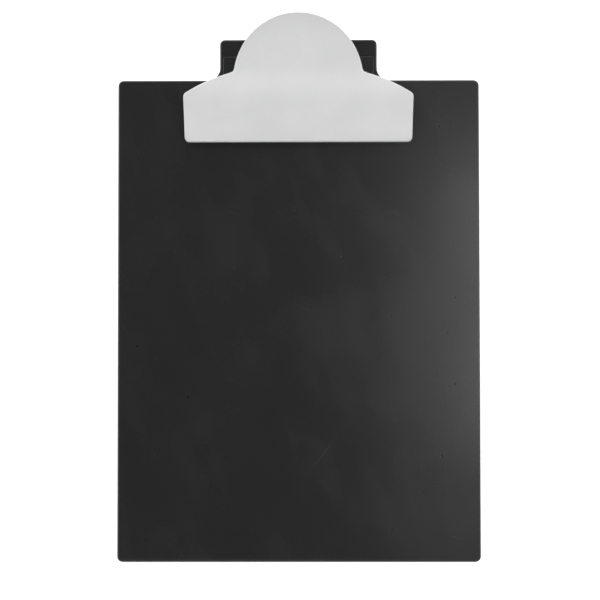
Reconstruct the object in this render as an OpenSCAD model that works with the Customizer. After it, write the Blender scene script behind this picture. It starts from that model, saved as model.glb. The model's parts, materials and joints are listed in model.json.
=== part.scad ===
// Clipboard: a moulded board with a finger tab, and a wide sprung clip that pivots on a steel pin.
// It lies on its back. X runs across the board, Y from its foot up to the clip, and Z up off the back.
// The origin is on the back face, in the middle of the overall length and width.
// u is a distance from the jaw's front edge towards the dome, along Y.

/* [Board] */
// Width of the board
board_w = 230; // [216:1:260]
// Length of the board without its tab
board_l = 306; // [300:1:360]
// Thickness of the board
board_t = 3; // [2.8:0.1:4]
// Radius of the board's corners
board_r = 3.5; // [1:0.5:10]
// Width of the finger tab behind the clip
tab_w = 100; // [96:1:120]
// How far the tab stands out past the board's top edge
tab_l = 26; // [24:0.5:30]
// Radius of the tab's outer corners
tab_r = 3; // [1:0.5:6]
// Radius that blends the tab into the board's top edge
tab_root_r = 8; // [4:0.5:12]
// Height of the raised lip along the tab's outer end
lip_h = 0.4; // [0.2:0.1:0.8]
// Length of that lip
lip_l = 10.8; // [8:0.2:12]

/* [Clip] */
// Width of the clip across the ends of its shoulders
clip_w = 145.6; // [130:0.2:170]
// How far each side leans in from the shoulder's end to the jaw's corner
side_lean = 0.5; // [0:0.1:1.5]
// From the board's top edge down to the jaw's front edge
jaw_setback = 39.8; // [38:0.2:44]
// From the jaw's front edge to the pin and to the dome's centre
pin_u = 37.4; // [35:0.2:38]
// Radius of the dome that the thumb presses
dome_r = 41.2; // [40:0.1:44]
// Radius of the convex shoulders on both sides of the dome
shoulder_r = 105; // [100:1:115]
// From the jaw's front edge to the shoulders' ends
shoulder_end_u = 29.6; // [28:0.2:32]
// Radius of the jaw's corners and of the shoulders' ends
corner_r = 3; // [2.4:0.1:4]
// Radius of the hollow between the dome and a shoulder
root_r = 3; // [2:0.5:5]
// Thickness of the clip's top wall
shell_t = 2.2; // [1.8:0.1:2.6]
// Thickness of the clip's side walls
wall_t = 2; // [1.6:0.1:2.4]
// Height of the dome's edge, top wall included
edge_h = 4.6; // [3.6:0.1:5]
// Gap between the closed clip's walls and the board
wall_gap = 0.6; // [0.4:0.1:1]
// Gap between the closed clip's rubber and the board, a sheet of paper
paper_gap = 0.1; // [0.05:0.05:0.2]
// How far the clip stands open, in degrees: 0 is closed, and 27 is stopped by the tab
opened = 0; // [0:1:27]

/* [Hinge] */
// Radius of the steel hinge pin
pin_r = 1.5; // [1.3:0.05:1.6]
// Length of the hinge pin
pin_l = 90.6; // [90:0.1:91]
// Height of the pin's axis above the board's front face
pin_h = 5.5; // [5.4:0.1:6]
// Width of the hinge base
base_w = 96; // [92:0.2:97]
// Thickness of the hinge base's plate
base_t = 1.6; // [1.4:0.1:1.8]
// Radius of the lugs around the pin
lug_r = 3.3; // [3:0.1:3.5]
// Thickness of each lug and each ear
lug_t = 3; // [2.6:0.1:3]
// Distance from the middle to the inner lugs
inner_lug_x = 12; // [10:0.5:13]
// Distance from the middle to the outer lugs
outer_lug_x = 38; // [37.8:0.1:38]
// Distance from the middle to the clip's ears
ear_x = 41.5; // [41.4:0.1:41.6]

/* [Springs] */
// Diameter of the spring wire
wire_d = 1.4; // [1:0.1:1.4]
// Radius of the coil at the wire's centre
coil_r = 2.6; // [2.4:0.05:2.6]
// Full turns in each coil
coil_turns = 8; // [6:1:10]
// Distance from the middle to the end of the coil with the lower leg
coil_x = 16; // [15:0.5:18]
// How far behind the pin the lower leg ends, on the hinge base
lower_reach = 16; // [12:1:17]
// How far behind the pin the upper leg ends, under the dome
upper_reach = 21; // [18:0.5:24]

/* [Fasteners] */
// Radius of the rivet shanks
rivet_r = 1.6; // [1.4:0.1:1.8]
// Radius of the rivet heads
rivet_head_r = 3; // [2.6:0.1:3.2]
// Height of the rivet heads
rivet_head_h = 1; // [0.8:0.1:1.2]
// Distance from the middle to each rivet
rivet_x = 31; // [30:0.5:32]
// Radius of the washers under the clinched ends
washer_r = 4.2; // [3.6:0.1:4.4]
// Thickness of the washers
washer_t = 0.5; // [0.4:0.1:0.6]
// Depth of the pockets in the back that hold the clinched ends
pocket_d = 1.3; // [1.2:0.1:1.4]

/* [Hidden] */

$fn = 72;
eps = 0.01;

// Places along the length
overall_l = board_l - jaw_setback + pin_u + dome_r;
foot_y = -overall_l / 2;
top_y = foot_y + board_l;
jaw_y = top_y - jaw_setback;
pin_y = jaw_y + pin_u;
dome_u = pin_u + dome_r;
pin_z = board_t + pin_h;
base_top = board_t + base_t;

// The hinge base runs from base_front_u back to the tab's lip
base_front_u = 20;
base_back_u = jaw_setback + tab_l - lip_l - 0.2;
base_r = 2;
lug_foot = 5.5;
pin_fit = 0.02;
ear_fit = 0.06;
ear_r = 3.6;
ear_root_u = [-5.2, 6.2];

// The clip's top surface rises from the jaw, levels out over the pin and flares up to the dome's tip.
// It passes through these knots: [u, height above the back, slope in degrees]
top_knots = [
    [0, 6.6, 15], [22, 12.6, 15], [34, 14.9, 3], [42, 15.6, 9],
    [54, 18.8, 17], [70, 23.7, 17], [dome_u, 27.5, 34]
];
shoulder_x = 16.2;
skirt_u = [24, 44];
jaw_bar = 5;
groove = [1.2, 4.2];
groove_top = board_t + 1.8;
grip_w = 136;
grip_side_gap = 0.05;
rib_t = 1.6;
front_ribs_x = [-48, -24, 0, 24, 48];
front_rib_u = [16, 31];
front_rib_z = 8.4;
centre_rib_u = [31, 70];
back_rib_u = [46, 66];
back_rib_h = 2;
leg_rib_gap = 1.9;
pad_h = 0.8;
pad_u = [upper_reach - 1, upper_reach + 1.5];

// Rivets: [x, u] of each one
rivet_u = [25, 48.5];
rivets = [for (u = rivet_u, s = [-1, 1]) [s * rivet_x, u]];
rivet_bore_r = rivet_r + 0.05;
tail_r = 2.6;
tail_z = 0.15;
pocket_r = washer_r + 0.3;

// Retainers
retainer_r = 3.2;
retainer_t = 0.5;
retainer_x = ear_x + lug_t / 2 + 0.4;
retainer_slots = 6;

// Colours
black_plastic = [0.16, 0.16, 0.16];
white_plastic = [0.84, 0.84, 0.84];
dark_rubber = [0.1, 0.1, 0.1];
steel = [0.7, 0.7, 0.72];

// ---- Outlines and curves ----

// Points along an arc about c, from angle a0 to a1, in n steps
function arc(c, r, a0, a1, n) =
    [for (i = [0:n]) let (a = a0 + (a1 - a0) * i / n) c + r * [cos(a), sin(a)]];

function angle_of(v) = atan2(v[1], v[0]);

function turned(v, a) = [v[0] * cos(a) - v[1] * sin(a), v[0] * sin(a) + v[1] * cos(a)];

function mirrored(points) = [for (i = [len(points) - 1:-1:0]) [-points[i][0], points[i][1]]];

// Where two circles about a and b, of radius ra and rb, cross, on the side of greater x
function crossing(a, ra, b, rb) =
    let (d = norm(b - a), e = (b - a) / d, k = (ra * ra - rb * rb + d * d) / (2 * d))
    a + k * e + sqrt(ra * ra - k * k) * [-e[1], e[0]];

// Right half of the clip's outline in [x, u], moved in by inset
function clip_half(inset) =
    let (
        half = clip_w / 2,
        dome = [0, pin_u],
        rise = sqrt(pow(shoulder_r, 2) - pow(half - shoulder_x, 2)),
        shoulder = [shoulder_x, shoulder_end_u - rise],
        end_x = half - corner_r,
        end = [end_x, shoulder[1] + sqrt(pow(shoulder_r - corner_r, 2) - pow(end_x - shoulder_x, 2))],
        corner = [end_x - side_lean, corner_r],
        lean = -atan(side_lean / (end[1] - corner_r)),
        root = crossing(dome, dome_r + root_r, shoulder, shoulder_r + root_r)
    )
    concat(
        arc(corner, corner_r - inset, -90, lean, 6),
        arc(end, corner_r - inset, lean, angle_of(end - shoulder), 5),
        arc(shoulder, shoulder_r - inset, angle_of(end - shoulder), angle_of(root - shoulder), 10),
        arc(root, root_r + inset, angle_of(shoulder - root) + 360, angle_of(dome - root) + 360, 5),
        arc(dome, dome_r - inset, angle_of(root - dome), 90, 24)
    );

// Height of a curve through knots [place, height, slope in degrees] at u
function hermite(u, a, b) =
    let (w = b[0] - a[0], t = (u - a[0]) / w)
    a[1] * (2 * pow(t, 3) - 3 * pow(t, 2) + 1) + b[1] * (3 * pow(t, 2) - 2 * pow(t, 3))
    + w * tan(a[2]) * (pow(t, 3) - 2 * pow(t, 2) + t) + w * tan(b[2]) * (pow(t, 3) - pow(t, 2));

function curve(u, knots, i = 0) =
    i < len(knots) - 2 && u > knots[i + 1][0]
        ? curve(u, knots, i + 1)
        : hermite(u, knots[i], knots[i + 1]);

function clip_top(u) = curve(u, top_knots);

// Stations of u from a to b for drawing the clip's top surface
function stations(a, b, step = 1.5) =
    let (n = ceil((b - a) / step))
    [for (i = [0:n]) a + (b - a) * i / n];

// Draws a [u, z] outline and extrudes it to thickness t about x
module side_plate(x, t) {
    translate([x - t / 2, jaw_y, 0]) rotate([90, 0, 90]) linear_extrude(t) children();
}

// A band under the clip's top surface, from depth d0 down to depth d1
module band(u0, u1, d0, d1) {
    u = stations(u0, u1);
    polygon(concat(
        [for (s = u) [s, clip_top(s) - d0]],
        [for (i = [len(u) - 1:-1:0]) [u[i], clip_top(u[i]) - d1]]
    ));
}

// ---- The board ----

module board_outline() {
    half = board_w / 2;
    tab = tab_w / 2;
    tab_y = top_y + tab_l;
    polygon(let (right = concat(
        arc([half - board_r, foot_y + board_r], board_r, -90, 0, 8),
        arc([half - board_r, top_y - board_r], board_r, 0, 90, 8),
        arc([tab + tab_root_r, top_y + tab_root_r], tab_root_r, 270, 180, 8),
        arc([tab - tab_r, tab_y - tab_r], tab_r, 0, 90, 8)
    )) concat(right, mirrored(right)));
}

module board() {
    lip_y = top_y + tab_l - lip_l;
    color(black_plastic)
    difference() {
        union() {
            linear_extrude(board_t) board_outline();
            intersection() {
                linear_extrude(board_t + lip_h) board_outline();
                translate([-tab_w, lip_y, 0]) cube([2 * tab_w, tab_l, 2 * board_t]);
            }
        }
        for (r = rivets) translate([r[0], jaw_y + r[1], 0]) {
            translate([0, 0, -eps]) cylinder(r = pocket_r, h = pocket_d + eps);
            cylinder(r = rivet_bore_r, h = 2 * board_t);
        }
    }
}

// ---- The hinge base, its pin and its retainers ----

module lug_profile() {
    difference() {
        union() {
            translate([pin_u, pin_z]) circle(lug_r);
            polygon([
                [pin_u - lug_foot, base_top - eps], [pin_u + lug_foot, base_top - eps],
                [pin_u + lug_r, pin_z], [pin_u - lug_r, pin_z]
            ]);
        }
        translate([pin_u, pin_z]) circle(pin_r + pin_fit);
    }
}

module hinge_base() {
    half = base_w / 2;
    length = base_back_u - base_front_u;
    color(black_plastic) {
        difference() {
            translate([0, jaw_y + base_front_u, board_t]) linear_extrude(base_t)
                polygon(let (right = concat(
                    arc([half - base_r, base_r], base_r, -90, 0, 6),
                    arc([half - base_r, length - base_r], base_r, 0, 90, 6)
                )) concat(right, mirrored(right)));
            for (r = rivets) translate([r[0], jaw_y + r[1], 0])
                cylinder(r = rivet_bore_r, h = 4 * board_t);
        }
        for (s = [-1, 1], x = [inner_lug_x, outer_lug_x]) side_plate(s * x, lug_t) lug_profile();
    }
}

module hinge_pin() {
    chamfer = 0.4;
    color(steel)
    translate([0, pin_y, pin_z]) rotate([0, 90, 0]) rotate_extrude()
        polygon([
            [0, -pin_l / 2], [pin_r - chamfer, -pin_l / 2], [pin_r, -pin_l / 2 + chamfer],
            [pin_r, pin_l / 2 - chamfer], [pin_r - chamfer, pin_l / 2], [0, pin_l / 2]
        ]);
}

// A push-on retainer: a thin ring whose inner edge is slotted into teeth that grip the pin
module retainer(side) {
    slot_w = 0.7;
    slot_r = 2.5;
    color(steel)
    translate([side * retainer_x, pin_y, pin_z]) rotate([0, side * 90, 0])
    difference() {
        cylinder(r = retainer_r, h = retainer_t);
        translate([0, 0, -eps]) cylinder(r = pin_r, h = 2 * retainer_t);
        for (i = [0:retainer_slots - 1]) rotate([0, 0, i * 360 / retainer_slots])
            translate([0, -slot_w / 2, -eps]) cube([slot_r, slot_w, 2 * retainer_t]);
    }
}

// ---- The clip and its rubber ----

module ear_profile() {
    root = [for (d = ear_root_u) [pin_u + d, clip_top(pin_u + d) - shell_t / 2]];
    difference() {
        union() {
            translate([pin_u, pin_z]) circle(ear_r);
            polygon([[pin_u - ear_r, pin_z], [pin_u + ear_r, pin_z], root[1], root[0]]);
        }
        translate([pin_u, pin_z]) circle(pin_r + ear_fit);
    }
}

// The clip's walls seen from the side: closed down to the board in front, open behind the pin
module clip_profile() {
    floor_z = board_t + wall_gap;
    u = stations(0, dome_u);
    back = stations(skirt_u[1], dome_u);
    polygon(concat(
        [for (s = u) [s, clip_top(s)]],
        [for (i = [len(back) - 1:-1:0]) [back[i], clip_top(back[i]) - edge_h]],
        [[skirt_u[0], floor_z], [0, floor_z]]
    ));
}

module clip_prism(inset) {
    right = clip_half(inset);
    translate([0, jaw_y, 0]) linear_extrude(10 * board_t) polygon(concat(right, mirrored(right)));
}

module clip_lever() {
    leg_x = coil_x + coil_length;
    color(white_plastic) {
        difference() {
            intersection() {
                clip_prism(0);
                side_plate(0, 2 * clip_w) clip_profile();
            }
            intersection() {
                clip_prism(wall_t);
                side_plate(0, 2 * clip_w) polygon(concat(
                    [for (s = stations(jaw_bar, dome_u)) [s, clip_top(s) - shell_t]],
                    [[dome_u, 0], [jaw_bar, 0]]
                ));
            }
            translate([-grip_w / 2, jaw_y + groove[0], 0])
                cube([grip_w, groove[1] - groove[0], groove_top]);
        }
        for (s = [-1, 1]) side_plate(s * ear_x, lug_t) ear_profile();
        for (x = front_ribs_x) side_plate(x, rib_t) polygon(concat(
            [for (s = stations(front_rib_u[0], front_rib_u[1])) [s, clip_top(s) - shell_t + eps]],
            [[front_rib_u[1], front_rib_z], [front_rib_u[0] + 1, front_rib_z]]
        ));
        for (s = [-1, 1], d = [-leg_rib_gap, leg_rib_gap]) side_plate(s * leg_x + d, rib_t)
            band(back_rib_u[0], back_rib_u[1], shell_t - eps, shell_t + back_rib_h);
        for (s = [-1, 1]) side_plate(s * leg_x, 2 * leg_rib_gap)
            band(pin_u + pad_u[0], pin_u + pad_u[1], shell_t - eps, shell_t + pad_h);
        side_plate(0, rib_t)
            band(centre_rib_u[0] - eps, centre_rib_u[1], shell_t - eps, shell_t + back_rib_h);
    }
}

module jaw_grip() {
    color(dark_rubber)
    translate([-grip_w / 2 + grip_side_gap, jaw_y + groove[0] + grip_side_gap, board_t + paper_gap])
        cube([
            grip_w - 2 * grip_side_gap, groove[1] - groove[0] - 2 * grip_side_gap,
            groove_top - board_t - paper_gap
        ]);
}

// ---- The torsion springs ----

spring_gap = 0.06;
coil_pitch = wire_d + 0.1;
coil_step = 20;
wire_sides = 8;

// Ends of the two legs, in [u, z] from the pin's axis: one on the hinge base, one on the clip's pad
lower_end = [lower_reach, base_top + wire_d / 2 + spring_gap - pin_z];
closed_end = [
    upper_reach, clip_top(pin_u + upper_reach) - shell_t - pad_h - wire_d / 2 - 2 * spring_gap - pin_z
];
upper_end = turned(closed_end, -opened);

// Each leg is tangent to the coil: its slope down or up, in degrees
lower_slope = -angle_of(lower_end) - asin(coil_r / norm(lower_end));
upper_slope = angle_of(upper_end) - asin(coil_r / norm(upper_end));
coil_start = -90 - lower_slope;
coil_angle = 360 * coil_turns + 180 - lower_slope - upper_slope;
coil_length = coil_pitch * (coil_turns + 0.5);

// One station of the coil: [point, outward direction], in [x, u, z] about the pin
function coil_station(part) =
    let (a = coil_start - part * coil_angle, out = [0, cos(a), sin(a)])
    [[part * coil_length, 0, 0] + coil_r * out, out];

function spring_stations() =
    let (
        n = ceil(coil_angle / coil_step),
        coil = [for (i = [0:n]) coil_station(i / n)],
        lower = [[0, lower_end[0], lower_end[1]], coil[0][1]],
        upper = [[coil_length, upper_end[0], upper_end[1]], coil[n][1]]
    )
    concat([lower], coil, [upper]);

module spring(side) {
    s = spring_stations();
    n = len(s);
    k = wire_sides;
    across = [1, 0, 0];
    points = [for (q = s, j = [0:k - 1]) let (a = 360 * j / k)
        q[0] + wire_d / 2 * (cos(a) * q[1] + sin(a) * across)];
    faces = concat(
        [[for (j = [0:k - 1]) j]],
        [for (i = [0:n - 2], j = [0:k - 1]) let (m = (j + 1) % k)
            [i * k + j, (i + 1) * k + j, (i + 1) * k + m, i * k + m]],
        [[for (j = [k - 1:-1:0]) (n - 1) * k + j]]
    );
    color(steel)
    translate([0, pin_y, pin_z]) mirror([side < 0 ? 1 : 0, 0, 0])
        translate([coil_x, 0, 0]) polyhedron(points, faces);
}

// ---- Rivets and washers ----

// A semi-tubular rivet: low round head on the hinge base, end rolled over the washer
module rivet(i) {
    top = base_top + rivet_head_h;
    crown = [
        [rivet_head_r, base_top + 0.25], [rivet_head_r * 0.72, top - 0.15], [rivet_head_r * 0.35, top]
    ];
    neck_z = pocket_d - washer_t;
    bore_r = 1;
    bore_top = 1.8;
    roll = 0.3;
    color(steel)
    translate([rivets[i][0], jaw_y + rivets[i][1], 0]) rotate_extrude()
        polygon([
            [bore_r, tail_z], [tail_r - roll, tail_z], [tail_r, tail_z + roll], [tail_r - 0.1, neck_z],
            [rivet_r, neck_z], [rivet_r, base_top], [rivet_head_r, base_top],
            each crown, [0, top], [0, bore_top], [bore_r, bore_top]
        ]);
}

module rivet_washer(i) {
    color(steel)
    translate([rivets[i][0], jaw_y + rivets[i][1], pocket_d - washer_t])
    difference() {
        cylinder(r = washer_r, h = washer_t);
        translate([0, 0, -eps]) cylinder(r = rivet_bore_r, h = 2 * washer_t);
    }
}

// ---- Assembly ----

// Turns a piece of the clip about the pin by the opened angle
module on_clip() {
    translate([0, pin_y, pin_z]) rotate([-opened, 0, 0]) translate([0, -pin_y, -pin_z]) children();
}

board();
hinge_base();
on_clip() clip_lever();
on_clip() jaw_grip();
hinge_pin();
retainer(-1);  // retainer_left
retainer(1);  // retainer_right
spring(-1);  // spring_left
spring(1);  // spring_right
for (i = [0:3]) {
    rivet(i);
    rivet_washer(i);
}
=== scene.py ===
"""The looks of the clipboard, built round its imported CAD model.

A black moulded board lies on a pale floor under soft studio light. Its wide light grey clip turns on a
steel pin, over a black base that is riveted to the board. Shapes are worked out in millimetres, in the CAD
model's frame.
"""

import json
import math

import bmesh
import bpy
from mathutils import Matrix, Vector


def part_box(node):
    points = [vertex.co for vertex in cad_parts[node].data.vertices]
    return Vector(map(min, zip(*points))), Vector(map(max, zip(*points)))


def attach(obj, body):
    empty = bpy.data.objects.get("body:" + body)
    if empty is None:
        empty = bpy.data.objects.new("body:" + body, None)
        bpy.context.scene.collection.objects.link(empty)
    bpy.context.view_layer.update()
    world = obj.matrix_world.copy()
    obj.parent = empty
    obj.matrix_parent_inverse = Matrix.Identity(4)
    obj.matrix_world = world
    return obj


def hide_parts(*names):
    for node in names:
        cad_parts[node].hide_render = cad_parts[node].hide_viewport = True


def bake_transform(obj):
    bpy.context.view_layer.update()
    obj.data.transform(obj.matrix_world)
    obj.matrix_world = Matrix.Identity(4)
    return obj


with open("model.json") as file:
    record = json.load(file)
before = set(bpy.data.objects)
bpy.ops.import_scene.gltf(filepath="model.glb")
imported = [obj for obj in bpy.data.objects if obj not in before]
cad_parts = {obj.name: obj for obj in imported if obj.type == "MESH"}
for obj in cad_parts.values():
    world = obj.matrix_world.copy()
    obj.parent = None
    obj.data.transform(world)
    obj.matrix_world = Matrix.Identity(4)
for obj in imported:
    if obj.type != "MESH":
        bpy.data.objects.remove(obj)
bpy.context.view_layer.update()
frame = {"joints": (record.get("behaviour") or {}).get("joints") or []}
MM = 0.001


def box_mm(node):
    low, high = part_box(node)
    return low / MM, high / MM


def middle_mm(node):
    low, high = box_mm(node)
    return (low + high) / 2


# ---- Places and sizes, in millimetres ----

BOARD_LOW, BOARD_HIGH = box_mm("board")
CLIP_LOW, CLIP_HIGH = box_mm("clip_lever")
BASE_LOW, BASE_HIGH = box_mm("hinge_base")
GRIP_LOW, GRIP_HIGH = box_mm("jaw_grip")
PIN_HIGH = box_mm("hinge_pin")[1]
PIN = Vector(frame["joints"][0]["pos_m"]) / MM

BOARD_TOP = BASE_LOW.z
BOARD_LENGTH = 306
BOARD_CORNER = 3.5
TAB_HALF = 50
TAB_CORNER = 3
TAB_ROOT = 8
LIP_LENGTH = 10.8
TOP_EDGE_Y = BOARD_LOW.y + BOARD_LENGTH

JAW_Y = CLIP_LOW.y
CLIP_HALF = CLIP_HIGH.x
DOME_U = CLIP_HIGH.y - JAW_Y
PIN_U = PIN.y - JAW_Y
DOME_R = DOME_U - PIN_U
SHOULDER_R = 105
SHOULDER_X = 16.2
SHOULDER_END_U = 29.6
SIDE_LEAN = 0.5
CORNER_R = 3
ROOT_R = 3
WALL_T = 2
SHELL_T = 2.2
EDGE_H = 4.6
JAW_BAR = 5
WALL_GAP = 0.6
SKIRT_FROM_U = 24
SKIRT_TO_U = 44

PLATE_TOP = BASE_LOW.z + 1.6
PLATE_CORNER = 2
LUG_T = 3
INNER_LUG_X = 12
OUTER_LUG_X = 38
EAR_X = 41.5

WIRE_R = 0.7
COIL_R = 2.6
COIL_TURNS = 8
COIL_X = 16
COIL_PITCH = 1.5
COIL_LENGTH = COIL_PITCH * (COIL_TURNS + 0.5)

RIVET_HEAD_R = 3
RIVET_HEAD_H = 1
POCKET_DEPTH = 1.3
RIVET_COUNT = 4
RIVETS = [middle_mm(f"rivet_{i}").xy for i in range(1, RIVET_COUNT + 1)]


# ---- Curves and outlines ----

def smoothstep(low, high, value):
    t = min(1.0, max(0.0, (value - low) / (high - low)))
    return t * t * (3 - 2 * t)


def arc(centre, radius, start, end, steps):
    """Points along an arc from one angle to another, in degrees."""
    angles = [math.radians(start + (end - start) * i / steps) for i in range(steps + 1)]
    return [(centre[0] + radius * math.cos(a), centre[1] + radius * math.sin(a)) for a in angles]


def angle_of(start, end):
    return math.degrees(math.atan2(end[1] - start[1], end[0] - start[0]))


def with_mirror(right):
    """A right half, drawn from the front to the back, and its mirror image: one closed outline."""
    return right + [(-x, y) for x, y in reversed(right)]


def crossing(a, radius_a, b, radius_b):
    """Where two circles cross, on the side of greater x."""
    d = math.dist(a, b)
    ex, ey = (b[0] - a[0]) / d, (b[1] - a[1]) / d
    k = (radius_a**2 - radius_b**2 + d * d) / (2 * d)
    h = math.sqrt(radius_a**2 - k * k)
    return a[0] + k * ex - h * ey, a[1] + k * ey + h * ex


def clip_outline(inset):
    """The clip from above, moved in by inset: jaw, shoulders, hollows beside the dome, and the dome."""
    dome = (0, PIN_U)
    shoulder_rise = math.sqrt(SHOULDER_R**2 - (CLIP_HALF - SHOULDER_X) ** 2)
    shoulder = (SHOULDER_X, SHOULDER_END_U - shoulder_rise)
    end_x = CLIP_HALF - CORNER_R
    end = (end_x, shoulder[1] + math.sqrt((SHOULDER_R - CORNER_R) ** 2 - (end_x - SHOULDER_X) ** 2))
    corner = (end_x - SIDE_LEAN, CORNER_R)
    lean = angle_of(corner, end) - 90
    root = crossing(dome, DOME_R + ROOT_R, shoulder, SHOULDER_R + ROOT_R)
    right = (
        arc(corner, CORNER_R - inset, -90, lean, 8)
        + arc(end, CORNER_R - inset, lean, angle_of(shoulder, end), 8)
        + arc(shoulder, SHOULDER_R - inset, angle_of(shoulder, end), angle_of(shoulder, root), 16)[1:]
        + arc(root, ROOT_R + inset, angle_of(root, shoulder) + 360, angle_of(root, dome) + 360, 8)[1:]
        + arc(dome, DOME_R - inset, angle_of(dome, root), 90, 36)[1:-1]
    )
    return [(x, JAW_Y + u) for x, u in with_mirror(right)]


def cavity_outline(inset):
    """The hollow under the clip: its outline stops short of the solid bar behind the jaw."""
    front = JAW_Y + JAW_BAR - WALL_T + inset
    return [(x, max(y, front)) for x, y in clip_outline(inset)]


def board_outline(inset):
    """The board and its tab from above, moved in by inset."""
    half, tab_y = BOARD_HIGH.x, BOARD_HIGH.y
    corner, tab_corner = BOARD_CORNER - inset, TAB_CORNER - inset
    return with_mirror(
        arc((half - BOARD_CORNER, BOARD_LOW.y + BOARD_CORNER), corner, -90, 0, 8)
        + arc((half - BOARD_CORNER, TOP_EDGE_Y - BOARD_CORNER), corner, 0, 90, 8)
        + arc((TAB_HALF + TAB_ROOT, TOP_EDGE_Y + TAB_ROOT), TAB_ROOT + inset, 270, 180, 10)
        + arc((TAB_HALF - TAB_CORNER, tab_y - TAB_CORNER), tab_corner, 0, 90, 8)
    )


def plate_outline(inset):
    """The hinge base's plate from above, moved in by inset."""
    half = BASE_HIGH.x - PLATE_CORNER
    front, back = BASE_LOW.y + PLATE_CORNER, BASE_HIGH.y - PLATE_CORNER
    radius = PLATE_CORNER - inset
    return with_mirror(arc((half, front), radius, -90, 0, 6) + arc((half, back), radius, 0, 90, 6))


def hermite(u, a, b):
    """Height between two knots, each (place, height, slope in degrees)."""
    width = b[0] - a[0]
    t = (u - a[0]) / width
    slope_a, slope_b = math.tan(math.radians(a[2])), math.tan(math.radians(b[2]))
    rise = a[1] * (2 * t**3 - 3 * t**2 + 1) + b[1] * (3 * t**2 - 2 * t**3)
    return rise + width * (slope_a * (t**3 - 2 * t**2 + t) + slope_b * (t**3 - t**2))


# The clip rises from the jaw, levels out over the pin and rises again under the thumb: (u, height, slope)
TOP_KNOTS = [
    (0, 6.6, 15), (22, 12.6, 15), (34, 14.9, 3), (42, 15.6, 9), (54, 18.8, 16), (DOME_U, 25.6, 15.5)
]
FLARE_W = 9
FLARE_SLOPE = 0.16
CURL_FROM = 6
CURL = 0.048
CROWN_H = 1.1
CROWN_FADE_U = 18


def spine(u):
    """Height of the clip's top surface along its middle, without the flare."""
    for a, b in zip(TOP_KNOTS, TOP_KNOTS[1:]):
        if u <= b[0]:
            return hermite(u, a, b)
    return hermite(u, *TOP_KNOTS[-2:])


def flare(x, u):
    """How far the dome's rim turns up, in a band along its outer end that fades out towards its sides."""
    out = math.hypot(x, u - PIN_U)
    into = max(0.0, out - (DOME_R - FLARE_W))
    rise = FLARE_SLOPE * (math.hypot(into, 1) - 1) + CURL * max(0.0, into - CURL_FROM) ** 2
    return rise * smoothstep(0.15, 0.85, (u - PIN_U) / max(out, 1))


def clip_top(x, y):
    """Height of the clip's top surface, which falls away a little to both sides."""
    u = y - JAW_Y
    crown = CROWN_H * (x / CLIP_HALF) ** 2 * smoothstep(0, CROWN_FADE_U, u)
    return spine(u) - crown + flare(x, u)


def clip_underside(x, y):
    return clip_top(x, y) - SHELL_T


def clip_floor(x, y):
    """Height of the clip's lower edge: down to the board in front, and a short skirt under the dome."""
    u = y - JAW_Y
    front = BOARD_TOP + WALL_GAP
    return front + (spine(u) - EDGE_H - front) * smoothstep(SKIRT_FROM_U, SKIRT_TO_U, u)


# ---- Mesh building ----

def grid_between(low, high, step):
    count = int((high - low) / step)
    return [low + (high - low) * i / (count + 1) for i in range(1, count + 1)]


def cut(bm, xs=(), ys=()):
    """Splits every face along planes of constant x and y, so that it can follow a curved surface."""
    for values, normal in ((xs, (1, 0, 0)), (ys, (0, 1, 0))):
        for value in values:
            everything = bm.verts[:] + bm.edges[:] + bm.faces[:]
            point = [value * n for n in normal]
            bmesh.ops.bisect_plane(bm, geom=everything, dist=1e-4, plane_co=point, plane_no=normal)


EDGE_STEPS = 6
# Puts the most edge wear, and the painted highlight on the black edges, a third of the way round an edge
EDGE_WEAR_AND_HIGHLIGHT_SKEW = 0.63


def stack(rings, xs=(), ys=(), close_end=True):
    """A skin through a stack of rings, from the top's middle, over the edge and underneath.

    A ring is a list of points, and a function that gives its height at x and y. All the lists are equally
    long. While the skin is flat, a vertex's z is the number of its ring. Each vertex keeps how near it is to
    the top's edge.
    """
    bm = bmesh.new()
    edge_wear_and_highlight = bm.verts.layers.float.new("edge")
    loops = [[bm.verts.new((x, y, level)) for x, y in ring] for level, (ring, height) in enumerate(rings)]
    bm.faces.new(loops[0])
    for upper, lower in zip(loops, loops[1:]):
        for i in range(len(upper)):
            j = (i + 1) % len(upper)
            bm.faces.new((upper[j], upper[i], lower[i], lower[j]))
    if close_end:
        bm.faces.new(loops[-1][::-1])
    cut(bm, xs, ys)
    last = len(rings) - 1
    for v in bm.verts:
        level = min(int(v.co.z), last - 1)
        part = v.co.z - level
        above, below = (rings[i][1](v.co.x, v.co.y) for i in (level, level + 1))
        # This edge mask drives edge wear, and on the black plastic it also drives a painted highlight
        v[edge_wear_and_highlight] = math.sin(math.pi * min(1, v.co.z / EDGE_STEPS) ** EDGE_WEAR_AND_HIGHLIGHT_SKEW)
        v.co.z = above + (below - above) * part
    return bm


def quarter(outline, height, surface, side, rise, reverse=False):
    """Rings round a quarter of an edge, from the surface to the side, or back from the side if reversed.

    The rings' inset goes from surface to side, and they rise by rise on the way.
    """
    rings = []
    for i in range(EDGE_STEPS + 1):
        a = math.radians(90 * i / EDGE_STEPS)
        lift = rise * (1 - math.cos(a))
        ring = outline(side + (surface - side) * (1 - math.sin(a)))
        rings.append((ring, lambda x, y, lift=lift: height(x, y) + lift))
    return rings[::-1] if reverse else rings


def slab(points, x, thickness):
    """A flat plate that stands across x, from its outline in y and z."""
    bm = bmesh.new()
    near, far = x - thickness / 2, x + thickness / 2
    first = [bm.verts.new((near, y, z)) for y, z in points]
    second = [bm.verts.new((far, y, z)) for y, z in points]
    bm.faces.new(first[::-1])
    bm.faces.new(second)
    for i in range(len(points)):
        j = (i + 1) % len(points)
        bm.faces.new((first[i], first[j], second[j], second[i]))
    return bm


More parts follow.
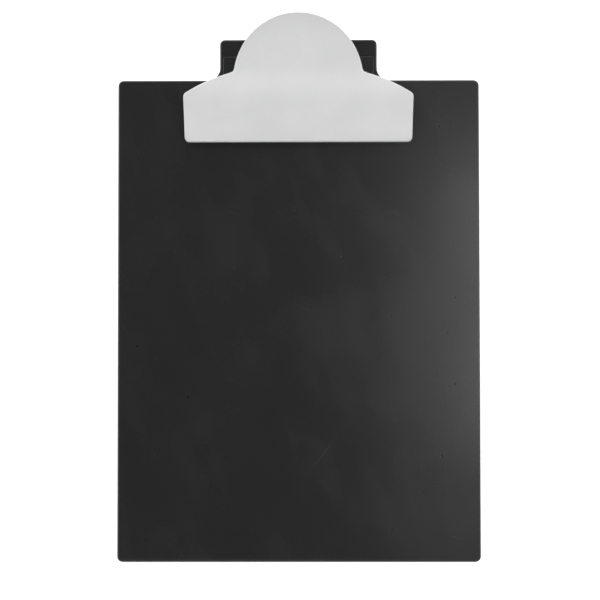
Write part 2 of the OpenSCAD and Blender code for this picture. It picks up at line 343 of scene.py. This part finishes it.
def reach(direction, polygon):
    """How far a ray from the origin runs inside a polygon that is convex, or 0 where it leaves at once."""
    dy, dz = direction
    found = 0.0
    for (y0, z0), (y1, z1) in zip(polygon, polygon[1:] + polygon[:1]):
        across = dy * (z1 - z0) - dz * (y1 - y0)
        if abs(across) < 1e-9:
            continue
        along = (y0 * (z1 - z0) - z0 * (y1 - y0)) / across
        part = (y0 * dz - z0 * dy) / across
        if along > 0 and -1e-6 <= part <= 1 + 1e-6:
            found = max(found, along)
    return found


def eyelet(x, thickness, radius, bore, web):
    """A plate round the pin with a bore. web, in y and z from the pin, is what joins it to its base."""
    bm = bmesh.new()
    count = 64
    loops = []
    for side in (-1, 1):
        for size in ("bore", "rim"):
            loop = []
            for i in range(count):
                a = 2 * math.pi * i / count
                d = (math.cos(a), math.sin(a))
                r = bore if size == "bore" else max(radius, reach(d, web))
                place = (x + side * thickness / 2, PIN.y + r * d[0], PIN.z + r * d[1])
                loop.append(bm.verts.new(place))
            loops.append(loop)
    near_bore, near_rim, far_bore, far_rim = loops
    for a, b in ((near_bore, near_rim), (near_rim, far_rim), (far_rim, far_bore), (far_bore, near_bore)):
        for i in range(count):
            j = (i + 1) % count
            bm.faces.new((a[i], b[i], b[j], a[j]))
    return bm


def lathe(profile, centre, axis="z", steps=64):
    """Turns a profile of (radius, height) points about a line along z or x through centre."""
    bm = bmesh.new()
    loops = []
    for radius, height in profile:
        ring = []
        for i in range(1 if radius == 0 else steps):
            a = 2 * math.pi * i / steps
            across = (radius * math.cos(a), radius * math.sin(a))
            offset = (*across, height) if axis == "z" else (height, *across)
            ring.append(bm.verts.new(Vector(centre) + Vector(offset)))
        loops.append(ring)
    for a, b in zip(loops, loops[1:]):
        for i in range(steps):
            j = (i + 1) % steps
            corners = [a[i % len(a)], a[j % len(a)], b[j % len(b)], b[i % len(b)]]
            bm.faces.new(list(dict.fromkeys(corners)))
    return bm


SOFTEN_OVER = math.radians(35)
SHARP_OVER = math.radians(40)


def soften(bm, width, segments=2):
    """Rounds every edge that turns by more than SOFTEN_OVER."""
    bmesh.ops.recalc_face_normals(bm, faces=bm.faces)
    sharp = [e for e in bm.edges if len(e.link_faces) == 2 and e.calc_face_angle(0) > SOFTEN_OVER]
    bmesh.ops.bevel(
        bm, geom=sharp, offset=width, offset_type="OFFSET", segments=segments, profile=0.5, affect="EDGES",
        clamp_overlap=True,
    )
    return bm


def to_object(name, parts, material):
    """Joins parts, all in millimetres, into one object in metres, with every face turned outwards."""
    joined = bmesh.new()
    joined.verts.layers.float.new("edge")
    for part in parts:
        bmesh.ops.recalc_face_normals(part, faces=part.faces)
        if part.calc_volume(signed=True) < 0:
            bmesh.ops.reverse_faces(part, faces=part.faces)
        scratch = bpy.data.meshes.new("scratch")
        part.to_mesh(scratch)
        part.free()
        joined.from_mesh(scratch)
        bpy.data.meshes.remove(scratch)
    bmesh.ops.scale(joined, vec=(MM, MM, MM), verts=joined.verts)
    mesh = bpy.data.meshes.new(name)
    joined.to_mesh(mesh)
    joined.free()
    mesh.polygons.foreach_set("use_smooth", [True] * len(mesh.polygons))
    mesh.set_sharp_from_angle(angle=SHARP_OVER)
    mesh.materials.append(material)
    obj = bpy.data.objects.new(name, mesh)
    bpy.context.scene.collection.objects.link(obj)
    modifier = obj.modifiers.new("even_shading", "WEIGHTED_NORMAL")
    modifier.keep_sharp = True
    modifier.weight = 80
    return obj


def settle(obj, body, slot, *nodes):
    """The piece stands for its CAD nodes, hides them and moves with their body. Its slot is not used."""
    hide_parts(*nodes)
    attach(obj, body)


# ---- Materials ----

class Paint:
    """A procedural material on the Principled shader, in the object's own coordinates."""

    def __init__(self, name):
        self.material = bpy.data.materials.new(name)
        self.material.use_nodes = True
        self.tree = self.material.node_tree
        self.shader = self.tree.nodes["Principled BSDF"]
        self.place = self.node("ShaderNodeTexCoord").outputs["Object"]

    def node(self, kind, settings=None, **inputs):
        made = self.tree.nodes.new(kind)
        for key, value in (settings or {}).items():
            setattr(made, key, value)
        for key, value in inputs.items():
            self.put(made.inputs[key.replace("_", " ")], value)
        return made

    def put(self, socket, value):
        if isinstance(value, bpy.types.NodeSocket):
            self.tree.links.new(value, socket)
        else:
            socket.default_value = value

    def set(self, **inputs):
        for key, value in inputs.items():
            self.put(self.shader.inputs[key.replace("_", " ")], value)

    def stretched(self, stretch, turn=0.0):
        """Coordinates that draw a pattern out by stretch along each axis, turned about z in degrees."""
        turn = (0, 0, math.radians(turn))
        made = self.node(
            "ShaderNodeMapping", {"vector_type": "TEXTURE"}, Vector=self.place, Rotation=turn, Scale=stretch
        )
        return made.outputs["Vector"]

    def noise(self, size, detail=3.0, roughness=0.55, vector=None):
        """Noise whose blotches are about size metres across."""
        place = vector or self.place
        made = self.node(
            "ShaderNodeTexNoise", Vector=place, Scale=1 / size, Detail=detail, Roughness=roughness
        )
        return made.outputs["Fac"]

    def cells(self, size):
        """Cells of about size metres, seen from above."""
        return self.node(
            "ShaderNodeTexVoronoi", {"voronoi_dimensions": "2D"}, Vector=self.place, Scale=1 / size
        ).outputs

    def span(self, value, low, high, to_low=0.0, to_high=1.0):
        """Maps a value from one range to another, held at its ends."""
        made = self.node("ShaderNodeMapRange", {"interpolation_type": "SMOOTHSTEP"}, Value=value)
        for key, number in (("From Min", low), ("From Max", high), ("To Min", to_low), ("To Max", to_high)):
            made.inputs[key].default_value = number
        return made.outputs["Result"]

    def calc(self, a, operation, b):
        """A sum, product or the like of a and b."""
        made = self.node("ShaderNodeMath", {"operation": operation})
        self.put(made.inputs[0], a)
        self.put(made.inputs[1], b)
        return made.outputs[0]

    def mix(self, share, a, b):
        """Colour a where share is 0, and b where it is 1."""
        made = self.node("ShaderNodeMix", {"data_type": "RGBA"})
        for index, value in ((0, share), (6, a), (7, b)):
            self.put(made.inputs[index], (*value, 1) if isinstance(value, tuple) else value)
        return made.outputs[2]

    def edge(self):
        """1 on a rounded edge, and 0 away from it."""
        return self.node("ShaderNodeAttribute", {"attribute_name": "edge"}).outputs["Fac"]

    def bump(self, height, depth, strength=1.0, under=None):
        made = self.node("ShaderNodeBump", Height=height, Distance=depth, Strength=strength)
        if under is not None:
            self.put(made.inputs["Normal"], under)
        return made.outputs["Normal"]


def specks(paint, size, radius, share):
    """Small round specks: one in each cell of about size metres, in that share of the cells."""
    found = paint.cells(size)
    near = paint.span(found["Distance"], radius / size, 0.4 * radius / size)
    chance = paint.node("ShaderNodeSeparateColor", Color=found["Color"]).outputs["Red"]
    chosen = paint.span(chance, 1 - share, 1 - share + 0.01)
    return paint.calc(near, "MULTIPLY", chosen)


def clip_plastic():
    """Light grey plastic with a soft sheen: fine mould grain, faint clouding and slightly polished edges."""
    paint = Paint("clip_plastic")
    cloud = paint.noise(size=0.022, detail=4)
    pale, paler, speck = (0.606, 0.607, 0.609), (0.632, 0.632, 0.633), (0.40, 0.40, 0.40)
    colour = paint.mix(paint.span(cloud, 0.3, 0.75), pale, paler)
    dust = specks(paint, size=0.012, radius=0.00012, share=0.15)
    colour = paint.mix(dust, colour, speck)
    grain = paint.noise(size=0.00035, detail=2)
    handling = paint.noise(size=0.009, detail=5, roughness=0.65)
    rough = paint.span(handling, 0.3, 0.75, to_low=0.36, to_high=0.46)
    polish = paint.calc(paint.edge(), "MULTIPLY", -0.08)
    waves = paint.bump(cloud, depth=0.00006, strength=0.25)
    paint.set(
        Base_Color=colour, Roughness=paint.calc(rough, "ADD", polish), IOR=1.48,
        Normal=paint.bump(grain, depth=0.000012, strength=0.5, under=waves),
    )
    return paint.material


def black_haze(paint):
    """Broad smudges and long wipe marks, from 0 to 1."""
    smudge = paint.span(paint.noise(size=0.055, detail=2, roughness=0.5), 0.3, 0.75)
    wiped = paint.stretched((1, 4, 1), turn=20)
    wipe = paint.span(paint.noise(size=0.018, detail=2, roughness=0.5, vector=wiped), 0.3, 0.8)
    return paint.calc(paint.calc(smudge, "MULTIPLY", 0.6), "ADD", paint.calc(wipe, "MULTIPLY", 0.4))


def black_hairlines(paint):
    """Long fine scratches in three directions."""
    hair = None
    for turn in (12, -38, 71):
        drawn = paint.stretched((1, 60, 1), turn)
        lines = paint.span(paint.noise(size=0.0018, detail=2, roughness=0.5, vector=drawn), 0.73, 0.79)
        hair = lines if hair is None else paint.calc(hair, "MAXIMUM", lines)
    return hair


def black_colour(paint, tone, film, haze, pits):
    """Black under a film of smudges, with dust, pits painted dark as painted shade, and edges painted
    lighter: partly rubbed wear, partly a painted highlight.
    """
    dust_grey, pit_shade_black, rubbed_and_highlight_grey = (0.085, 0.085, 0.083), (0.002, 0.002, 0.002), (0.06, 0.06, 0.06)
    fine = specks(paint, size=0.006, radius=0.00016, share=0.08)
    coarse = specks(paint, size=0.015, radius=0.00030, share=0.15)
    dust = paint.calc(fine, "MAXIMUM", coarse)
    colour = paint.mix(haze, (tone,) * 3, (tone + film,) * 3)
    colour = paint.mix(paint.calc(dust, "MULTIPLY", 0.5), colour, dust_grey)
    # Pits painted near black: painted shade inside the pits
    colour = paint.mix(pits, colour, pit_shade_black)
    # Edges painted lighter round the top edge's rounding: partly patchy rubbed wear, partly a painted
    # highlight where the rounded edge would catch light
    patches = paint.span(paint.noise(size=0.004, detail=5, roughness=0.7), 0.3, 0.7, to_low=0.3)
    rubbed_and_highlight = paint.calc(paint.edge(), "MULTIPLY", patches)
    return paint.mix(paint.calc(rubbed_and_highlight, "MULTIPLY", 0.22), colour, rubbed_and_highlight_grey)


def black_plastic(name, tone, rough, film):
    """Glossy black moulded plastic, not quite flat, with smudges, hairlines, pits and a little dust.

    tone is its bare brightness, and film how much the smudges add to it.
    """
    paint = Paint(name)
    haze = black_haze(paint)
    hair = black_hairlines(paint)
    small = specks(paint, size=0.020, radius=0.00070, share=0.16)
    large = specks(paint, size=0.032, radius=0.00095, share=0.22)
    pits = paint.calc(small, "MAXIMUM", large)
    dull = paint.span(haze, 0.2, 0.9, to_low=rough, to_high=rough + 0.05)
    dull = paint.calc(dull, "ADD", paint.calc(hair, "MULTIPLY", 0.06))
    surface = paint.bump(paint.noise(size=0.085, detail=1), depth=0.00028, strength=1.0)
    surface = paint.bump(paint.noise(size=0.0007, detail=3), depth=0.000012, strength=0.5, under=surface)
    surface = paint.bump(paint.calc(1.0, "SUBTRACT", pits), depth=0.00006, strength=0.8, under=surface)
    surface = paint.bump(hair, depth=0.000006, strength=0.3, under=surface)
    colour = black_colour(paint, tone, film, haze, pits)
    paint.set(Base_Color=colour, Roughness=dull, IOR=1.5, Normal=surface)
    return paint.material


def rubber():
    """Soft matt rubber with a powdery grain."""
    paint = Paint("rubber")
    dark, powdery = (0.022, 0.022, 0.022), (0.045, 0.045, 0.044)
    bloom = paint.noise(size=0.004, detail=5, roughness=0.7)
    paint.set(
        Base_Color=paint.mix(paint.span(bloom, 0.4, 0.7), dark, powdery), IOR=1.52,
        Roughness=paint.span(bloom, 0.3, 0.7, to_low=0.72, to_high=0.9),
        Normal=paint.bump(paint.noise(size=0.0003, detail=3), depth=0.00002, strength=0.6),
    )
    return paint.material


def steel(name, colour, rough, drawn=(1, 1, 1)):
    """Bare or plated steel, with fine marks along the way that it was drawn, and a little tarnish."""
    paint = Paint(name)
    marks = paint.noise(size=0.0003, detail=3, roughness=0.6, vector=paint.stretched(drawn))
    tarnish = paint.noise(size=0.003, detail=5, roughness=0.65)
    dull = tuple(c * 0.72 for c in colour)
    worn = paint.span(marks, 0.3, 0.7, to_low=rough, to_high=rough + 0.14)
    paint.set(
        Base_Color=paint.mix(paint.span(tarnish, 0.45, 0.75), colour, dull), Metallic=1.0,
        Roughness=paint.calc(worn, "ADD", paint.calc(tarnish, "MULTIPLY", 0.1)),
        Normal=paint.bump(marks, depth=0.000006, strength=0.5),
    )
    return paint.material


def floor_paint():
    """Pale studio floor, a little lit from within so that it stays clear of grey."""
    paint = Paint("studio_floor")
    tone = paint.span(paint.noise(size=0.4, detail=2), 0.3, 0.7)
    paint.set(
        Base_Color=paint.mix(tone, (0.76, 0.76, 0.76), (0.78, 0.78, 0.78)), Roughness=0.9,
        Emission_Color=(1, 1, 1, 1), Emission_Strength=0.6,
    )
    return paint.material


# ---- The board ----

FOOT_ROLL = 3.2
FOOT_DROP = 0.2
LIP_Y = BOARD_HIGH.y - LIP_LENGTH
LIP_RAMP_FROM = LIP_Y - 0.2
LIP_RAMP_TO = LIP_Y + 0.5
LIP_ROW = 0.1


def board_top(x, y):
    """The board's front face: a low lip along the tab's outer end, and a slight roll down to its foot."""
    lip = (BOARD_HIGH.z - BOARD_TOP) * smoothstep(LIP_RAMP_FROM, LIP_RAMP_TO, y)
    into_roll = max(0.0, BOARD_LOW.y + FOOT_ROLL - y) / FOOT_ROLL
    return BOARD_TOP + lip - FOOT_DROP * into_roll**2


def flat(level):
    return lambda x, y: level


def pocket(bm, centre):
    """A cup in the back for a rivet's clinched end. Returns its mouth's edges."""
    steps = 48
    loops = []
    profile = [(4.75, 0), (4.55, 0.08), (4.5, 0.25), (4.5, POCKET_DEPTH - 0.2), (4.35, POCKET_DEPTH)]
    for radius, z in profile:
        ring = arc(centre, radius, 0, 360, steps)[:-1]
        loops.append([bm.verts.new((x, y, z)) for x, y in ring])
    for a, b in zip(loops, loops[1:]):
        for i in range(steps):
            j = (i + 1) % steps
            bm.faces.new((a[i], a[j], b[j], b[i]))
    bm.faces.new(loops[-1])
    return [bm.edges.get((loops[0][i], loops[0][(i + 1) % steps])) for i in range(steps)]


def make_board(material):
    """The board with its tab, in one skin with the pockets in its back."""
    rings = quarter(board_outline, board_top, surface=1.1, side=0, rise=-0.65)
    rings += quarter(board_outline, flat(0), surface=0.7, side=0, rise=0.6, reverse=True)
    lip_rows = [LIP_RAMP_FROM + LIP_ROW * i for i in range(8)]
    roll_rows = [BOARD_LOW.y + FOOT_ROLL * i / 8 for i in range(3, 9)]
    bm = stack(rings, ys=roll_rows + lip_rows, close_end=False)
    back = [e for e in bm.edges if e.is_boundary]
    for centre in RIVETS:
        back += pocket(bm, centre)
    bmesh.ops.triangle_fill(bm, edges=back, use_beauty=True, normal=(0, 0, -1))
    board = to_object("board_moulding", [bm], material)
    settle(board, "base", "black_board", "board")


# ---- The hinge base, its pin, retainers and rivets ----

def make_hinge_base(material):
    """The base's plate, with four lugs that carry the pin."""
    rings = quarter(plate_outline, flat(PLATE_TOP), surface=0.4, side=0, rise=-0.35)
    rings += quarter(plate_outline, flat(BASE_LOW.z), surface=0.1, side=0, rise=0.1, reverse=True)
    parts = [stack(rings)]
    radius, bore, foot = 3.3, 1.52, 5.5
    sunk = PLATE_TOP - PIN.z - 0.3
    web = [(-foot, sunk), (foot, sunk), (radius, 0), (-radius, 0)]
    for x in (-OUTER_LUG_X, -INNER_LUG_X, INNER_LUG_X, OUTER_LUG_X):
        parts.append(soften(eyelet(x, LUG_T, radius, bore, web), 0.3))
    settle(to_object("hinge_base_moulding", parts, material), "base", "black_base", "hinge_base")


def make_pin(material):
    """A straight pin with rounded ends."""
    radius, half, round_end = PIN_HIGH.z - PIN.z, PIN_HIGH.x, 0.45
    end = [(radius - round_end + x, half - round_end + y) for x, y in arc((0, 0), round_end, 0, 90, 5)]
    profile = [(0, -half)] + [(r, -h) for r, h in reversed(end)] + end + [(0, half)]
    pin = to_object("pin_rod", [lathe(profile, (0, PIN.y, PIN.z), "x", 48)], material)
    settle(pin, "base", "pin_steel", "hinge_pin")


RETAINER_TEETH = 6
RETAINER_STEPS = 72


def retainer_loops(side, inner_x, outer_r):
    """Six circles round the pin: the inner and outer faces at the teeth, at their roots and at the rim."""
    tooth_r, root_r, sheet = 1.5, 2.4, 0.2
    bm = bmesh.new()
    loops = []
    for radius, out in ((tooth_r, 0.28), (root_r, 0.1), (outer_r, 0.0)):
        for face in (0, sheet):
            ring = []
            for i in range(RETAINER_STEPS):
                a = 2 * math.pi * i / RETAINER_STEPS
                place = (
                    inner_x + side * (out + face), PIN.y + radius * math.cos(a), PIN.z + radius * math.sin(a)
                )
                ring.append(bm.verts.new(place))
            loops.append(ring)
    return bm, loops


def make_retainer(side, name, material):
    """A thin spring ring, dished outwards, whose inner edge is slit into teeth that bite on the pin."""
    low, high = box_mm(name)
    inner_x = low.x if side > 0 else high.x
    bm, loops = retainer_loops(side, inner_x, (high.z - low.z) / 2 - 0.05)
    tooth_in, tooth_out, root_in, root_out, rim_in, rim_out = loops
    pitch = RETAINER_STEPS // RETAINER_TEETH
    for i in range(RETAINER_STEPS):
        j = (i + 1) % RETAINER_STEPS
        for a, b in ((root_in, rim_in), (rim_in, rim_out), (rim_out, root_out)):
            bm.faces.new((a[i], a[j], b[j], b[i]))
        if i % pitch in (0, 1):
            bm.faces.new((root_out[i], root_out[j], root_in[j], root_in[i]))
            continue
        for a, b in ((root_out, tooth_out), (tooth_out, tooth_in), (tooth_in, root_in)):
            bm.faces.new((a[i], a[j], b[j], b[i]))
        for k, edge in ((i, i % pitch == 2), (j, i % pitch == pitch - 1)):
            if edge:
                bm.faces.new((tooth_out[k], root_out[k], root_in[k], tooth_in[k]))
    bmesh.ops.recalc_face_normals(bm, faces=bm.faces)
    bmesh.ops.delete(bm, geom=[v for v in bm.verts if not v.link_faces], context="VERTS")
    settle(to_object(name + "_ring", [soften(bm, 0.04, 1)], material), "base", "spring_steel", name)


def make_rivet(number, material):
    """A semi-tubular rivet: a low round head, a shank through the board, and an end rolled over."""
    shank_r, bore_r, bore_top, bore_mouth = 1.6, 1.0, 1.8, 0.6
    tail_r, tail_z, roll_r = 2.6, 0.15, 0.45
    neck_z = POCKET_DEPTH - 0.5
    edge_h = 0.25
    crown = []
    for degrees in range(90, 0, -9):
        a = math.radians(degrees)
        rise = edge_h + (RIVET_HEAD_H - edge_h) * math.cos(a)
        crown.append((RIVET_HEAD_R * math.sin(a), PLATE_TOP + rise))
    roll = arc((tail_r - roll_r, tail_z + roll_r), roll_r, -150, 30, 9)
    profile = [(0, bore_top), (bore_r, bore_top), (bore_r, bore_mouth)] + roll
    profile += [(shank_r, neck_z), (shank_r, PLATE_TOP), (RIVET_HEAD_R - 0.1, PLATE_TOP)]
    profile += crown + [(0, PLATE_TOP + RIVET_HEAD_H)]
    name = f"rivet_{number}"
    rivet = to_object(name + "_turned", [lathe(profile, (*RIVETS[number - 1], 0))], material)
    settle(rivet, "base", "rivet_steel", name)


def make_washer(number, material):
    """A stamped washer: one edge rolled over by the punch, the other with a fine break."""
    name = f"rivet_washer_{number}"
    low, high = box_mm(name)
    outer_r, bore_r, roll_r, chamfer, fine_break = (high.x - low.x) / 2, 1.65, 0.2, 0.08, 0.06
    profile = [(bore_r, high.z), (bore_r, low.z + chamfer), (bore_r + chamfer, low.z)]
    profile += arc((outer_r - roll_r, low.z + roll_r), roll_r, -90, 0, 4)
    profile += [(outer_r, high.z - fine_break), (outer_r - fine_break, high.z), (bore_r, high.z)]
    bm = lathe(profile, (*RIVETS[number - 1], 0))
    bmesh.ops.remove_doubles(bm, verts=bm.verts, dist=1e-5)
    settle(to_object(name + "_stamped", [bm], material), "base", "rivet_steel", name)


# ---- The springs ----

def tangent(end, lower):
    """Slope in degrees of the straight leg from the coil to its end, in y and z from the pin."""
    out, bearing = math.hypot(*end), math.degrees(math.atan2(end[1], end[0]))
    lean = math.degrees(math.asin(COIL_R / out))
    return -bearing - lean if lower else bearing - lean


# Ends of the two legs, in y and z from the pin, each a hair clear of what it presses on
LOWER_REACH = 16
UPPER_REACH = 21
PAD_H = 0.8
LOWER_END = (LOWER_REACH, PLATE_TOP + WIRE_R + 0.06 - PIN.z)
UPPER_END = (UPPER_REACH, spine(PIN_U + UPPER_REACH) - SHELL_T - PAD_H - WIRE_R - 0.12 - PIN.z)


def wire_points(side):
    """The wire's centre line: a leg on the base, the coil round the pin, and a leg under the clip's pad."""
    lower, upper = tangent(LOWER_END, True), tangent(UPPER_END, False)
    turned = 360 * COIL_TURNS + 180 - lower - upper
    count = int(turned / 10)
    coil = []
    for i in range(count + 1):
        part = i / count
        a = math.radians(-90 - lower - turned * part)
        coil.append((COIL_X + COIL_LENGTH * part, COIL_R * math.cos(a), COIL_R * math.sin(a)))
    path = [(COIL_X, *LOWER_END)] + coil + [(COIL_X + COIL_LENGTH, *UPPER_END)]
    return [Vector((side * x, PIN.y + y, PIN.z + z)) for x, y, z in path]


def wire_stations(path, radius):
    """The places, directions and shares of the radius where a wire's rings stand, with both ends domed."""
    steps = [(b - a).normalized() for a, b in zip(path, path[1:])]
    along = [steps[0]] + [(a + b).normalized() for a, b in zip(steps, steps[1:])] + [steps[-1]]
    dome = [(0, 0.55), (0.25, 0.9), (0.6, 1)]
    stations = [(path[0] + along[0] * radius * inward, along[0], share) for inward, share in dome]
    stations += [(point, way, 1) for point, way in zip(path[1:-1], along[1:-1])]
    return stations + [
        (path[-1] - along[-1] * radius * inward, along[-1], share) for inward, share in reversed(dome)
    ]


def swept(path, radius, sides=14):
    """A round wire along a path."""
    bm = bmesh.new()
    stations = wire_stations(path, radius)
    across = stations[0][1].orthogonal().normalized()
    loops = []
    for point, along, share in stations:
        across = (across - along * across.dot(along)).normalized()
        up = along.cross(across)
        ring = []
        for k in range(sides):
            a = 2 * math.pi * k / sides
            ring.append(bm.verts.new(point + radius * share * (math.cos(a) * across + math.sin(a) * up)))
        loops.append(ring)
    for a, b in zip(loops, loops[1:]):
        for k in range(sides):
            m = (k + 1) % sides
            bm.faces.new((a[k], a[m], b[m], b[k]))
    bm.faces.new(loops[0][::-1])
    bm.faces.new(loops[-1])
    return bm


def make_spring(side, name, material):
    """A torsion spring, built at rest: one leg lies on the base, one under the clip's pad."""
    spring = to_object(name + "_wire", [swept(wire_points(side), WIRE_R)], material)
    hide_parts(name)
    spring.modifiers.clear()
    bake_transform(spring)


# ---- The clip and its rubber ----

RIB_T = 1.6
RIB_DEPTH = 2
FRONT_RIBS_X = (-48, -24, 0, 24, 48)
FRONT_RIB_U = (16, 31)
FRONT_RIB_Z = 8.4
CENTRE_RIB_U = (31, 70)
BACK_RIB_U = (46, 66)
BACK_RIB_OFF = 1.9
PAD_W = 2.6
# How far ribs and pads reach up into the top wall
BURY = 0.15


def band(x, thickness, u_range, depth):
    """A rib that hangs under the clip's top wall, follows it and stops at the dome's wall."""
    wall = PIN_U + math.sqrt((DOME_R - WALL_T / 2) ** 2 - (abs(x) + thickness / 2) ** 2)
    start, end = u_range[0], min(u_range[1], wall)
    us = [start] + grid_between(start, end, 2) + [end]
    upper = [(JAW_Y + u, clip_underside(x, JAW_Y + u) + BURY) for u in us]
    lower = [(JAW_Y + u, clip_underside(x, JAW_Y + u) - depth) for u in us]
    return soften(slab(upper + lower[::-1], x, thickness), 0.25)


def front_rib(x):
    """A rib over the paper's throat, with a flat lower edge."""
    start, end = FRONT_RIB_U
    us = [start] + grid_between(start, end, 2) + [end]
    upper = [(JAW_Y + u, clip_underside(x, JAW_Y + u) + BURY) for u in us]
    lower = [(JAW_Y + end, FRONT_RIB_Z), (JAW_Y + start + 1, FRONT_RIB_Z)]
    return soften(slab(upper + lower, x, RIB_T), 0.25)


def ear(x):
    """An ear that hangs from the clip's top wall and turns on the pin."""
    radius, bore, behind, ahead = 3.6, 1.56, 6.2, 5.2
    top = [(dy, clip_top(x, PIN.y + dy) - SHELL_T / 2 - PIN.z) for dy in (behind, 0, -ahead)]
    return soften(eyelet(x, LUG_T, radius, bore, [(-radius, 0), (radius, 0)] + top), 0.3)


def clip_shell():
    """The clip's skin: top wall, rounded edge, side walls and their lower edges, and the hollow inside."""
    lip, fillet = 0.4, 0.5
    rings = quarter(clip_outline, clip_top, surface=0.9, side=0, rise=-0.7)
    rings += quarter(clip_outline, clip_floor, surface=lip, side=0, rise=lip, reverse=True)
    rings += quarter(cavity_outline, clip_floor, surface=WALL_T - lip, side=WALL_T, rise=lip)
    rings += quarter(
        cavity_outline, clip_underside, surface=WALL_T + fillet, side=WALL_T, rise=-fillet, reverse=True
    )
    columns = grid_between(-CLIP_HALF, CLIP_HALF, 5)
    rows = grid_between(JAW_Y, JAW_Y + DOME_U, 1.3)
    return stack(rings, xs=columns, ys=rows)


def make_clip(material):
    """The clip: its shell, two ears, ribs under the top wall, and a pad for each spring's upper leg."""
    leg_x = COIL_X + COIL_LENGTH
    pad_u = PIN_U + UPPER_REACH
    parts = [clip_shell()]
    parts += [ear(x) for x in (-EAR_X, EAR_X)]
    parts += [front_rib(x) for x in FRONT_RIBS_X]
    parts.append(band(0, RIB_T, CENTRE_RIB_U, RIB_DEPTH))
    for side in (-1, 1):
        for off in (-BACK_RIB_OFF, BACK_RIB_OFF):
            parts.append(band(side * leg_x + off, RIB_T, BACK_RIB_U, RIB_DEPTH))
        parts.append(band(side * leg_x, PAD_W, (pad_u - 1, pad_u + 1.5), PAD_H))
    settle(to_object("clip_moulding", parts, material), "clip", "white_clip", "clip_lever")


def make_grip(material):
    """The rubber strip under the jaw, with three rounded ridges that hold the paper."""
    ridges, ridge_h, count = 3, 0.25, 24
    width = GRIP_HIGH.y - GRIP_LOW.y
    lower = []
    for i in range(count + 1):
        part = i / count
        ridge = abs(math.sin(math.pi * ridges * part))
        lower.append((GRIP_LOW.y + width * part, GRIP_LOW.z + ridge_h * (1 - ridge)))
    profile = [(GRIP_LOW.y, GRIP_HIGH.z)] + lower + [(GRIP_HIGH.y, GRIP_HIGH.z)]
    strip = slab(profile, 0, GRIP_HIGH.x - GRIP_LOW.x)
    settle(to_object("grip_strip", [soften(strip, 0.08)], material), "clip", "rubber_grip", "jaw_grip")


# ---- Studio: floor, lights and camera ----

def make_floor(material):
    """A pale floor that curves up all round into a low wall, so that every view has a plain backdrop."""
    bm = bmesh.new()
    flat_r, bend, wall, steps = 1900, 500, 700, 96
    profile = [(0, 0), (600, 0), (flat_r, 0)]
    profile += [(flat_r + x, bend + y) for x, y in arc((0, 0), bend, -90, 0, 10)[1:]]
    profile += [(flat_r + bend, bend + wall)]
    loops = []
    for radius, z in profile:
        ring = arc((0, 0), radius, 0, 360, steps)[: 1 if radius == 0 else steps]
        loops.append([bm.verts.new((x, y, z)) for x, y in ring])
    for a, b in zip(loops, loops[1:]):
        for i in range(steps):
            j = (i + 1) % steps
            bm.faces.new(list(dict.fromkeys([a[i % len(a)], b[i], b[j], a[j % len(a)]])))
    floor = to_object("studio_floor", [bm], material)
    floor.data.flip_normals()


def softbox(name, place, size, lean, radiance):
    """A rectangular light, in metres. It faces down, then leans about X and Y, in degrees."""
    light = bpy.data.lights.new(name, "AREA")
    light.shape = "RECTANGLE"
    light.size, light.size_y = size
    light.energy = radiance * math.pi * size[0] * size[1]
    obj = bpy.data.objects.new(name, light)
    obj.location = place
    obj.rotation_euler = (math.radians(lean[0]), math.radians(lean[1]), 0)
    bpy.context.scene.collection.objects.link(obj)


def make_lights():
    """Lamps high on the right, wide banks at both sides, behind and in front, and a dim sky.

    Straight above stays dark, so that the glossy board looks black from there.
    """
    for name, place, size, lean, radiance in (
        ("key_front", (0.50, -0.08, 1.14), (0.62, 0.20), (0, 20), 2.6),
        ("key_back", (0.50, 0.14, 1.14), (0.62, 0.20), (0, 20), 2.6),
        ("key_wash", (0.48, 0.02, 1.16), (0.72, 1.20), (0, 20), 0.35),
        ("left_bank", (-1.00, 0.28, 1.05), (0.80, 1.3), (0, -38), 2.3),
        ("right_bank", (1.25, 0.28, 0.95), (0.50, 1.3), (0, 50), 2.25),
        ("back_bank", (0.0, 1.20, 0.90), (1.6, 0.5), (-53, 0), 4.4),
        ("front_bank", (0.0, -0.64, 1.05), (0.9, 0.24), (31, 0), 1.3),
    ):
        softbox(name, place, size, lean, radiance)
    world = bpy.data.worlds.new("sky")
    world.use_nodes = True
    world.node_tree.nodes["Background"].inputs["Color"].default_value = (1, 1, 1, 1)
    world.node_tree.nodes["Background"].inputs["Strength"].default_value = 0.13
    bpy.context.scene.world = world
    bpy.context.scene.view_settings.view_transform = "Standard"


def make_camera():
    """Nearly straight above, a little towards the foot, with a long lens."""
    camera = bpy.data.objects.new("camera", bpy.data.cameras.new("camera"))
    camera.data.lens = 94.4
    camera.data.sensor_width = 36
    camera.location = (0.0084, -0.0393, 1.002)
    camera.rotation_mode = "YXZ"
    camera.rotation_euler = (math.radians(1.87), math.radians(0.435), math.radians(-0.075))
    bpy.context.scene.collection.objects.link(camera)
    bpy.context.scene.camera = camera


make_camera()
make_lights()
make_floor(floor_paint())
make_board(black_plastic("board_plastic", tone=0.0126, rough=0.20, film=0.003))
make_hinge_base(black_plastic("base_plastic", tone=0.0100, rough=0.26, film=0.003))
make_clip(clip_plastic())
make_grip(rubber())
make_pin(steel("pin_steel_paint", (0.62, 0.62, 0.63), rough=0.2, drawn=(20, 1, 1)))
spring_paint = steel("spring_steel_paint", (0.42, 0.42, 0.43), rough=0.26)
for hand, word in ((-1, "left"), (1, "right")):
    make_retainer(hand, f"retainer_{word}", spring_paint)
    make_spring(hand, f"spring_{word}", spring_paint)
rivet_paint = steel("rivet_steel_paint", (0.66, 0.66, 0.67), rough=0.22)
for number in range(1, RIVET_COUNT + 1):
    make_rivet(number, rivet_paint)
    make_washer(number, rivet_paint)
